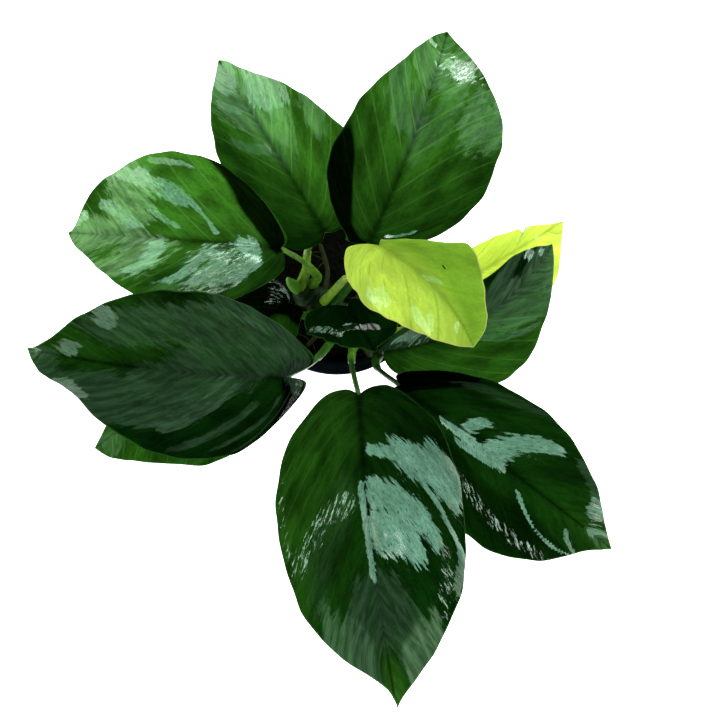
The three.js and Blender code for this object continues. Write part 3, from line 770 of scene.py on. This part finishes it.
            (0.62, 0.05, 0.66, 0.45, 0.4, 0.8),
        ],
        flecks=[(0.05, -0.9, 0.42, -0.7, 1)],
    ),
}


def arc(t):
    """A rise from 0 to 1 and back, as t runs from 0 to 1."""
    return 4 * t * (1 - t)


def bell(distance, width):
    """A soft hump: 1 at no distance, and next to nothing at twice the width."""
    return np.exp(-((distance / width) ** 2))


def ripples(along, across, seed):
    """Gentle unevenness of a living leaf, about half a millimetre from crest to trough."""
    rng = np.random.default_rng(seed)
    total = np.zeros_like(along)
    for length, height in RIPPLES:
        for _ in range(RIPPLES_PER_LENGTH):
            turn, phase = rng.uniform(0, 2 * math.pi, 2)
            place = (along * math.cos(turn) + across * math.sin(turn)) / length
            total += height / RIPPLES_PER_LENGTH * np.sin(2 * math.pi * place + phase)
    return total


def strokes(marks, s, w, length, width, soft):
    """How far inside the nearest stroke each point is (0.5 at its edge), and how strong it is."""
    best, strength = np.full_like(s, -9.0), np.zeros_like(s)
    for s0, w0, s1, w1, half, level in marks:
        ds, dw = (s - s0) * length, (w - w0) * width
        run_s, run_w = (s1 - s0) * length, (w1 - w0) * width
        share = np.clip((ds * run_s + dw * run_w) / (run_s**2 + run_w**2 + 1e-9), 0, 1)
        inside = half - np.hypot(ds - share * run_s, dw - share * run_w)
        inside = inside / min(soft, 1.6 * half)
        strength = np.where(inside > best, level, strength)
        best = np.maximum(best, inside)
    return np.clip(best + 0.5, 0, 1), strength


def half_blade(leaf, side, sign, seed):
    """The upper and lower faces of one half of a blade, its vein coordinates, and its looks.

    u runs along the rim from joint to tip, w from the midrib to the rim, a along the midrib and b
    across it to the left.
    """
    base, tip = np.array(leaf["base"], float), np.array(leaf["tip"], float)
    length = np.hypot(*(tip - base)[:2])
    ahead = (tip - base)[:2] / length
    (lobe_back, lobe_out), widths = leaf[side]
    outline = [(0, 0), (-lobe_back, lobe_out)]
    outline += [(station * length, width) for station, width in zip(STATIONS, widths)]
    u = np.linspace(0, 1, MARGIN_CELLS + 1)
    w = np.linspace(0, 1, VEIN_CELLS + 1) ** RIB_CROWDING
    edge = spline([*outline, (length, 0)], u)
    uneven = np.sin(u * 37 + 2 * seed + sign) + 0.8 * np.sin(u * 61 + seed)
    uneven = (uneven + 0.6 * np.sin(u * 97 + 3 * seed)) * np.sin(math.pi * u)
    for share, depth, wide in leaf["bites"] if side == "left" else []:
        edge[:, 1] -= depth * np.exp(-(((u - share) / wide) ** 4))
    edge[:, 1] += EDGE_UNEVEN * uneven * np.clip(edge[:, 1] / EDGE_FADE, 0, 1)
    root = np.interp(u * (len(VEIN_ROOTS) - 1), range(len(VEIN_ROOTS)), VEIN_ROOTS)
    u, root, edge_a, edge_b = (column[:, None] for column in (u, root, *edge.T))
    midrib = leaf["bend"] * arc(root)
    width = np.abs(sign * edge_b - midrib)
    a = root * length * (1 - w) + edge_a * w - VEIN_BOW * width * arc(w)
    b = midrib * (1 - w) + sign * edge_b * w
    t = a / length
    spine = base[2] + (tip[2] - base[2]) * t + leaf["arch"] * arc(t)
    z = spine + width * (FOLD * w - CURL * w * w) + b * math.tan(math.radians(leaf["roll"]))

    # The share s stays the same along a side vein, which sweeps forward as it nears the rim
    s = u - VEIN_SWEEP * w * w * (1 - u)
    from_rib, from_rim = w * width, (1 - w) * width
    body = np.clip(width / RELIEF_FADE, 0, 1)
    vein_place = s * length - VEIN_RISE * width * arc(w) + VEIN_WANDER * np.sin(s * 9 + seed)
    vein = (np.abs(vein_place / VEIN_SPACING % 1 - 0.5) * 2) ** 6
    quilt = np.sin(math.pi * w) * body
    groove = GROOVE_DEPTH * bell(from_rib, GROOVE_WIDTH)
    groove -= RIDGE_HEIGHT * bell(from_rib, RIDGE_WIDTH)
    wave = np.sin(u * 31 + seed) + 0.6 * np.sin(u * 53 + 2 * seed)
    top = z + ripples(a, b, seed) * body * np.clip(from_rib / RIPPLE_FADE, 0, 1)
    top += SWELLING * (1 - vein) * quilt + (RIM_WAVE * wave * w**5 - groove) * body
    thick = RIM_THICKNESS + (MIDDLE_THICKNESS - RIM_THICKNESS) * (1 - w**3)
    thick = thick * np.clip(width / THIN_BELOW, 0.2, 1)
    keel = KEEL_HEIGHT * (1 - KEEL_TAPER * root)
    keel = keel * bell(from_rib, KEEL_WIDTH - KEEL_NARROWING * root)
    low = top - thick - keel - VEIN_RIDGE_BELOW * vein * quilt
    x = base[0] + a * ahead[0] - b * ahead[1]
    y = base[1] + a * ahead[1] + b * ahead[0]
    upper, lower = np.stack([x, y, top], -1), np.stack([x, y, low], -1)
    upper[0], lower[0] = upper[0, 0], lower[0, 0]
    upper[-1] = lower[-1] = tip

    def painted(marks, soft):
        return strokes(marks, s, sign * w, length, width, soft)

    polish, strength = painted(leaf["gloss"], GLOSS_EDGE)
    # Painted sheen: soft reflections painted into the colour, with how far inside a stroke and how
    # strong
    sheen_cover, sheen = np.zeros_like(s), np.zeros_like(s)
    for mark in leaf["sheen"]:
        inside, level = painted([mark], SHEEN_EDGE)
        sheen_cover, sheen = np.maximum(sheen_cover, inside), np.maximum(sheen, np.clip(inside * 3, 0, 1) * level)
    flecks, _ = painted([(*mark, 1) for mark in leaf["flecks"]], FLECK_EDGE)
    # Painted shade where a blade lies so close over its neighbour that little light comes through
    shade, darkness = painted(leaf["shade"], SHADE_EDGE)
    specks, _ = painted(leaf["specks"], SPECK_EDGE)
    own, other = leaf["age"] if side == "left" else leaf["age"][::-1]
    own, other = (np.interp(s, AGE_SHARES, ages) for ages in (own, other))
    looks = {
        "rim_distance": np.broadcast_to(from_rim, a.shape),
        "rib": bell(from_rib, RIB_WIDTH - (RIB_WIDTH - RIB_TIP_WIDTH) * root),
        "polish": polish,
        "strength": strength,
        "sheen_cover": sheen_cover,
        "sheen": sheen,
        "flecks": flecks,
        "shade": shade * darkness,
        "specks": specks,
        "age": own + (other - own) * 0.5 * np.clip(1 - w / AGE_BLEND, 0, 1),
    }
    return upper, lower, np.stack([vein_place, from_rib], -1), looks


def blade(name, leaf, seed):
    """One closed blade; its UV map runs across the veins and along them, in centimetres."""
    corners, faces, slots, uvs, looks = [], [], [], [], []

    def add_sheet(points, uv, look, flip, slot):
        rows, columns = points.shape[:2]
        start = sum(len(c) for c in corners)
        corners.append(points.reshape(-1, 3))
        uvs.append(uv.reshape(-1, 2))
        looks.append({key: value.reshape(-1) for key, value in look.items()})
        index = start + np.arange(rows * columns).reshape(rows, columns)
        quad = [index[:-1, :-1], index[1:, :-1], index[1:, 1:], index[:-1, 1:]]
        quad = np.stack(quad, -1).reshape(-1, 4)
        faces.append(quad[:, ::-1] if flip else quad)
        slots.append(np.full(len(quad), slot))

    for side, sign in (("left", 1), ("right", -1)):
        upper, lower, uv, look = half_blade(leaf, side, sign, seed)
        add_sheet(upper, uv, look, sign < 0, 0)
        add_sheet(lower, uv, look, sign > 0, 1)
        # A band of two rows rounds the rim
        above, below = upper[:, -1], lower[:, -1]
        out = (upper[:, -1] - upper[:, -2]) * (1, 1, 0)
        out /= np.maximum(np.linalg.norm(out, axis=1), 1e-6)[:, None]
        middle = (above + below) / 2 + out * RIM_ROUNDING
        middle[0], middle[-1] = (above[0] + below[0]) / 2, above[-1]
        rim_look = {key: np.repeat(value[:, -1:], 3, 1) for key, value in look.items()}
        rim = np.stack([above, middle, below], 1)
        add_sheet(rim, np.repeat(uv[:, -1:], 3, 1), rim_look, sign < 0, 0)

    mesh = bpy.data.meshes.new(name)
    mesh.from_pydata((np.concatenate(corners) * MM).tolist(), [], np.concatenate(faces).tolist())
    mesh.polygons.foreach_set("material_index", np.concatenate(slots).astype(np.int32))
    loops = np.empty(len(mesh.loops), np.int32)
    mesh.loops.foreach_get("vertex_index", loops)
    flat = np.concatenate(uvs)[loops] * CM
    mesh.uv_layers.new(name="veins").data.foreach_set("uv", flat.astype(np.float32).ravel())
    for key in looks[0]:
        values = np.concatenate([look[key] for look in looks]).astype(np.float32)
        mesh.attributes.new(key, "FLOAT", "POINT").data.foreach_set("value", values)
    shape = bmesh.new()
    shape.from_mesh(mesh)
    bmesh.ops.remove_doubles(shape, verts=shape.verts, dist=1e-6)
    bmesh.ops.recalc_face_normals(shape, faces=shape.faces)
    shape.to_mesh(mesh)
    shape.free()
    mesh.shade_smooth()
    piece = bpy.data.objects.new(name, mesh)
    bpy.context.collection.objects.link(piece)
    return piece


# What the flesh of a leaf and its coat read: painted looks, and noises in waves per centimetre
# across and along the veins, with their detail and roughness. The grain is too fine to show in
# life and is drawn 0.3 mm wide
FLESH_LOOKS = ["rim_distance", "rib", "shade", "specks", "age"]
COAT_LOOKS = ["polish", "strength", "sheen_cover", "sheen", "flecks"]
FLESH_NOISES = {
    "grain": ((34, 15, 1), 8, 0.8),
    "bands": ((8, 3.6, 1), 8, 0.75),
    "clouds": ((1.6, 1.2, 1), 5, 0.5),
}
COAT_NOISES = {
    "ragged": ((8, 2.5, 1), 8, 0.75),
    "gaps": ((32, 14, 1), 2, 0.5),
    "fingers": ((7, 2.4, 1), 6, 0.6),
    "spots": ((12, 4, 1), 6, 0.75),
}
# Masks made of them: what each reads, where it starts and ends, and its values there
FLESH_MASKS = {
    "grainy": ("grain", 0.32, 0.68, 1.2, 0.55),
    "banded": ("bands", 0.38, 0.62, 1.15, 0.7),
    "cloudy": ("clouds", 0.36, 0.62, 0.5, 1.15),
    "unshaded": ("shade", 0.3, 0.7, 1, 0.06),
    "side veins": ("from vein", 0.026, 0.008, 0, 1),
    "broken veins": ("bands", 0.38, 0.58, 0, 1),
    "young veins": ("age in light", 0.1, 0.6, 0.05, 1),
    "rim": ("rim_distance", 0.25, 0.1, 0, 1),
    "speck": ("specks", 0.4, 0.7, 0, 1),
}
COAT_MASKS = {
    "polished": ("polish edge", 0.47, 0.53, 0, 1),
    "unbroken": ("gaps", 0.63, 0.67, 1, 0.1),
    "grainy shine": ("grain", 0.3, 0.65, 1.1, 0.4),
    "banded shine": ("bands", 0.38, 0.62, 1.15, 0.65),
    "cloudy shine": ("clouds", 0.36, 0.62, 1.1, 0.7),
    # The painted sheen: a soft reflection painted into the colour, broken along the veins
    "painted sheen": ("haze edge", 0.38, 0.56, 0, 1),
    "fingered sheen": ("fingers", 0.42, 0.58, 0.5, 1.2),
    "banded sheen": ("bands", 0.38, 0.62, 1.25, 0.75),
    "thick sheen": ("sheen", 0.2, 0.6, 0, 1),
    "fleck": ("broken", 0.78, 0.82, 0, 1),
    "raised fleck": ("broken", 0.74, 0.86, 0, 1),
}
RAGGEDNESS, FLECKING = 2.4, 0.25
GRAIN_RELIEF, GRAIN_STRENGTH, FLECK_RELIEF = 0.06 * MM, 0.35, 0.16 * MM
# Colours of the painted sheen, a soft reflection, where it is thin and where it is thick
PAINTED_SHEEN_THIN, PAINTED_SHEEN_THICK = (0.2, 0.38, 0.24, 1), (0.38, 0.64, 0.34, 1)
BLACK, RIB_BLACK, SPECK_BROWN = (0, 0, 0, 1), (0, 0.001, 0, 1), "2e1c06"


def leaf_skin(name, front, through, vein, rim, veined, rimmed, glow, rib_dark, contrast, waxy):
    """Leathery leaf: dark in front light and vivid where light comes through, with fine pale veins.

    front and through are colours of a mature and of a young leaf, and glow is the share of light
    that comes through. veined (in front and in through light), rimmed, rib_dark and contrast say
    how strong the side veins, the rim, the midrib and the mottling are. A waxy face has a wet coat
    polished in patches, with edges broken along the veins, a painted sheen (a soft reflection
    painted into its colour) and raised flecks that catch the light. The other face is matt.
    """
    material, tree = new_material(name)
    veins_map = add(tree, "ShaderNodeUVMap", uv_map="veins")
    read = {}
    for key in FLESH_LOOKS + (COAT_LOOKS if waxy else []):
        read[key] = add(tree, "ShaderNodeAttribute", attribute_name=key).outputs["Fac"]
    noises = {**FLESH_NOISES, **(COAT_NOISES if waxy else {})}
    for key, (scale, detail, roughness) in noises.items():
        place = add(tree, "ShaderNodeMapping", {"Vector": veins_map, "Scale": scale})
        waves = {"Vector": place, "Scale": 1, "Detail": detail, "Roughness": roughness}
        read[key] = add(tree, "ShaderNodeTexNoise", waves)
    across = add(tree, "ShaderNodeSeparateXYZ", {0: veins_map}).outputs["X"]
    sums = {
        "from vein": (across, "PINGPONG", VEIN_SPACING * CM / 2),
        "age in light": (read["age"], "SUBTRACT", read["shade"]),
    }
    if waxy:
        ragged = {0: read["ragged"], 1: RAGGEDNESS, 2: -RAGGEDNESS / 2}
        ragged = add(tree, "ShaderNodeMath", ragged, operation="MULTIPLY_ADD")
        flecking = {0: read["flecks"], 1: FLECKING, 2: read["spots"]}
        read["broken"] = add(tree, "ShaderNodeMath", flecking, operation="MULTIPLY_ADD")
        sums["polish edge"] = (read["polish"], "ADD", ragged)
        sums["haze edge"] = (read["sheen_cover"], "ADD", ragged)
    for key, (one, operation, other) in sums.items():
        read[key] = add(tree, "ShaderNodeMath", {0: one, 1: other}, operation=operation)
    masks = {}
    for key, (source, *ends) in {**FLESH_MASKS, **(COAT_MASKS if waxy else {})}.items():
        masks[key] = add(tree, "ShaderNodeMapRange", dict(enumerate([read[source], *ends])))

    def together(*factors):
        """Masks, looks and shares multiplied with one another; a mask is given by its name."""
        value, *rest = (masks[factor] if isinstance(factor, str) else factor for factor in factors)
        for factor in rest:
            value = add(tree, "ShaderNodeMath", {0: value, 1: factor}, operation="MULTIPLY")
        return value

    def layered(colour, layers):
        """Colours laid over a first one, each by its amount."""
        for amount, over in layers:
            layer = add(tree, "ShaderNodeMix", {0: amount, 6: colour, 7: over}, data_type="RGBA")
            colour = layer.outputs[2]
        return colour

    # The flesh darkens with its mottling, and with painted shade where a blade lies over its
    # neighbour
    lit = {0: 1.0, 1: together("grainy", "banded", "cloudy", "unshaded")}
    dark = add(tree, "ShaderNodeMath", lit, operation="SUBTRACT", use_clamp=True)
    dark = together(dark, contrast)
    side_veins = together("side veins", "broken veins", "young veins")

    def flesh_colour(pair, vein_share):
        mature, young = (linear(colour) for colour in pair)
        return layered(mature, [
            (read["age"], young),
            (dark, BLACK),
            (together(side_veins, vein_share), linear(vein)),
            (together(read["rib"], rib_dark), RIB_BLACK),
            (together("rim", rimmed), linear(rim)),
            (masks["speck"], linear(SPECK_BROWN)),
        ])

    relief = {"Height": read["grain"], "Distance": GRAIN_RELIEF, "Strength": GRAIN_STRENGTH}
    skin = {"Base Color": flesh_colour(front, veined[0]), "IOR": 1.45}
    skin["Normal"] = add(tree, "ShaderNodeBump", relief)
    if waxy:
        shine = ("unbroken", read["strength"], "grainy shine", "banded shine", "cloudy shine")
        # Painted sheen: a soft teal reflection painted into the base colour
        painted_sheen = together("painted sheen", "fingered sheen", "banded sheen", read["sheen"])
        painted_sheen_colour = layered(PAINTED_SHEEN_THIN, [(masks["thick sheen"], PAINTED_SHEEN_THICK)])
        skin["Base Color"] = layered(skin["Base Color"], [(painted_sheen, painted_sheen_colour)])
        coat = {0: together("polished", *shine), 1: masks["fleck"]}
        coat = add(tree, "ShaderNodeMath", coat, operation="MAXIMUM", use_clamp=True)
        raised = {"Height": masks["raised fleck"], "Distance": FLECK_RELIEF}
        relief["Normal"] = add(tree, "ShaderNodeBump", raised)
        skin.update({"Coat Weight": coat, "Coat Normal": add(tree, "ShaderNodeBump", relief)})
        skin.update({"Roughness": 0.45, "Specular IOR Level": 0.0})
        skin.update({"Coat Roughness": 0.08, "Coat IOR": 3.0})
    else:
        skin.update({"Roughness": 0.55, "Specular IOR Level": 0.3})
    face = add(tree, "ShaderNodeBsdfPrincipled", skin)
    light = flesh_colour(through, veined[1])
    flesh = add(tree, "ShaderNodeBsdfTranslucent", {"Color": light})
    both = add(tree, "ShaderNodeMixShader", {0: glow, 1: face, 2: flesh})
    add(tree, "ShaderNodeOutputMaterial", {"Surface": both})
    return material


# Almost black green in front light, and clear green like stained glass in the light from below
MATURE_TOP = leaf_skin(
    "mature leaf, waxy upper face", front=("040c04", "0a1c07"), through=("24642a", "a4e976"),
    vein="b4e89c", rim="5c9a48", veined=(0.05, 0.55), rimmed=0.2, glow=0.4, rib_dark=0.6,
    contrast=1.0, waxy=True,
)
# Paler, even green without shine
MATURE_BELOW = leaf_skin(
    "mature leaf, matt underside", front=("2c5a22", "4a7a2c"), through=("7ca059", "bcf395"),
    vein="a8e088", rim="88b070", veined=(0.1, 0.1), rimmed=0.5, glow=0.6, rib_dark=0.2,
    contrast=0.15, waxy=False,
)
# Thin young flesh: a warm yellow-green that glows, with soft darker veins
YOUNG_TOP = leaf_skin(
    "young leaf, waxy upper face", front=("468c16", "e0f868"), through=("509c19", "f0ff80"),
    vein="5c9408", rim="d8b890", veined=(0.4, 0.3), rimmed=0.5, glow=0.4, rib_dark=0.25,
    contrast=0.5, waxy=True,
)
# The same flesh from below: plain and matt
YOUNG_BELOW = leaf_skin(
    "young leaf, matt underside", front=("98b828", "b0cc40"), through=("b0d040", "f0ff90"),
    vein="b8d440", rim="d8c890", veined=(0.1, 0.1), rimmed=0.5, glow=0.6, rib_dark=0.1,
    contrast=0.1, waxy=False,
)

for number, (name, leaf) in enumerate(LEAVES.items()):
    young = name.startswith("young")
    piece = blade(f"blade_{name}", {**PLAIN_LEAF, **leaf}, FIRST_SEED + SEED_STEP * number)
    piece.data.materials.append(YOUNG_TOP if young else MATURE_TOP)
    piece.data.materials.append(YOUNG_BELOW if young else MATURE_BELOW)
    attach(piece, "root")
    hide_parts(f"leaf_{name}")


# Leaf stalks: firm fleshy stems, round above and wrapped low down in a wider sheath. Each bends out
# of the rhizome, where it flares, and goes on under its blade as the midrib.
STALK_RADIUS, STALK_TIP, STALK_TIP_SHARE = 0.75, 0.3, 0.12
SHEATH_RADIUS, SHEATH_TAPER, SHEATH_SHARE, SHEATH_LIP = 1.3, 0.15, 0.33, 0.025
FLARE, FLARE_HEIGHT = 1.4, 4.5
# The stalk bends JOINT_REACH from the joint, STALK_DROP under it, and ends at MIDRIB_SHARE of the
# midrib, MIDRIB_DROP under its arch
JOINT_REACH, STALK_DROP = 4, 1.4
MIDRIB_SHARE, MIDRIB_ARCH, MIDRIB_DROP = 0.08, 0.3, 1.6
STALK_STEPS, BEND_POINTS = 80, 16
STALK_SIDES, STALK_LUMPS = 16, (0.12, 4.0)
# Points from the rhizome up, and ages of the sheath and of the stalk above it
STALKS = {
    "back_left": ([(-9.2, 3.6, 58), (-8, 9, 80)], (0.75, 0.6)),
    "back_right": ([(0.8, -4.4, 57.4), (5.6, 0.6, 82)], (0.2, 0.1)),
    "left_upper": ([(-5.2, 1.6, 56.4), (-9.2, 5, 82)], (0.6, 0.6)),
    "left_lower": ([(0.2, -15.2, 53.4), (-6, -23.5, 84)], (0.4, 0.3)),
    "left_under": ([(-7.6, -9.8, 53.8), (-11.4, -9.6, 70)], (0.3, 0.1)),
    "front": ([(5, -19.4, 54), (4.6, -24.5, 80)], (0.6, 0.15)),
    "front_right": ([(12, -23.4, 51.6), (12.6, -26.2, 78)], (0.1, 0.0)),
    "right": ([(16, -20.6, 51.6), (16.4, -22.6, 76)], (0.1, 0.0)),
    "young_middle": ([(-3.4, -5, 57.4), (3.6, 0.8, 88)], (0.75, 0.9)),
    "young_right": ([(14.6, -15.4, 53), (19.2, -14.4, 68)], (0.9, 1.0)),
    "centre": ([(4.4, -9.6, 56.4), (5.6, -6.4, 72)], (0.1, 0.0)),
}


def rounded(start, corner, end):
    """Points round a corner."""
    q = np.linspace(0, 1, BEND_POINTS)[:, None]
    return (1 - q) ** 2 * start + 2 * q * (1 - q) * corner + q**2 * end


def stalk_line(points, ages, leaf):
    """A stalk's points, radii and ages, from inside the rhizome to under its blade."""
    base, tip = np.array(leaf["base"], float), np.array(leaf["tip"], float)
    joint = base - (0, 0, STALK_DROP)
    rise = leaf["arch"] * MIDRIB_ARCH - MIDRIB_DROP
    under_blade = base + (tip - base) * MIDRIB_SHARE + (0, 0, rise)
    line = spline([*points, joint], np.linspace(0, 1, STALK_STEPS))
    foot = line[0]
    core = rhizome_line[0][np.linalg.norm(rhizome_line[0] - foot, axis=1).argmin()]
    to_joint, to_foot = (np.linalg.norm(line - end, axis=1) for end in (joint, foot))
    line = line[(to_joint > JOINT_REACH) & (to_foot > FLARE_HEIGHT)]
    t = np.linspace(0, 1, len(line) + BEND_POINTS - 1)
    t = np.concatenate([np.zeros(BEND_POINTS - 1), t])
    low, high = rounded(core, foot, line[0]), rounded(line[-1], joint, under_blade)
    line = np.concatenate([low[:-1], line, high[1:]])
    bare = np.clip((t - SHEATH_SHARE) / SHEATH_LIP, 0, 1)
    radii = SHEATH_RADIUS - SHEATH_TAPER * t / SHEATH_SHARE * (1 - bare)
    radii = radii - (SHEATH_RADIUS - STALK_RADIUS) * bare
    radii = radii * np.clip((1 - t) / STALK_TIP_SHARE, STALK_TIP, 1)
    radii[:BEND_POINTS] *= np.linspace(FLARE, 1, BEND_POINTS)
    return line, radii, ages[0] + (ages[1] - ages[0]) * bare


# Smooth moist skin: dark green when mature, through mid green to yellow-green when young
STALK_SKIN = stem_skin("leaf stalk skin", ["0a2607", "3a701f", "92b034"], "0a2206", 0.3, 2500)
for number, (name, leaf) in enumerate(LEAVES.items()):
    line = stalk_line(*STALKS[name], leaf)
    stalk = swept(f"stalk_{name}_skin", [line], STALK_SKIN, STALK_SIDES, (*STALK_LUMPS, number))
    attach(stalk, "root")
    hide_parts(f"stalk_{name}")


# New shoot: the next leaf, still rolled up in a spear of pale tender tissue. It grows from the tip
# of the rhizome, and its outer edge laps round it in a long spiral.
SHOOT_LINE = [
    (-10.8, -2, 53.5), (-12.4, -1.2, 57), (-13.3, -0.6, 61.4), (-14.2, 0.2, 66), (-14.4, 1.2, 71),
]
SHOOT_RADIUS, SHOOT_TIP, SHOOT_FOOT = 2.0, 0.05, 0.35
SHOOT_LAP, SHOOT_TWIST = 0.2, 0.6
SHOOT_RINGS, SHOOT_SIDES = 60, 48


def rolled_shoot():
    shares = np.linspace(0, 1, SHOOT_RINGS)
    rings = []
    for share, centre in zip(shares, spline(SHOOT_LINE, shares)):
        swell = math.sin(math.pi * min(1, SHOOT_FOOT + share * (1 - SHOOT_FOOT))) ** 0.8
        radius = SHOOT_RADIUS * swell + SHOOT_TIP
        ring = []
        for k in range(SHOOT_SIDES):
            turn = 2 * math.pi * k / SHOOT_SIDES
            lap = 1 - SHOOT_LAP + SHOOT_LAP * ((k / SHOOT_SIDES - SHOOT_TWIST * share) % 1)
            ring.append(centre + (radius * lap * math.cos(turn), radius * lap * math.sin(turn), 0))
        rings.append(ring)
    return lofted(rings)


# Tender pale skin: fresh light green, half shiny
SHOOT_SKIN = stem_skin("rolled new leaf", ["4c7c28", "7aa848"], "2e5a18", 0.4, 2500)
new_shoot = place_mesh("new_shoot_rolled", rolled_shoot(), SHOOT_SKIN)
new_shoot.data.shade_smooth()
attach(new_shoot, "root")
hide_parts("new_shoot")
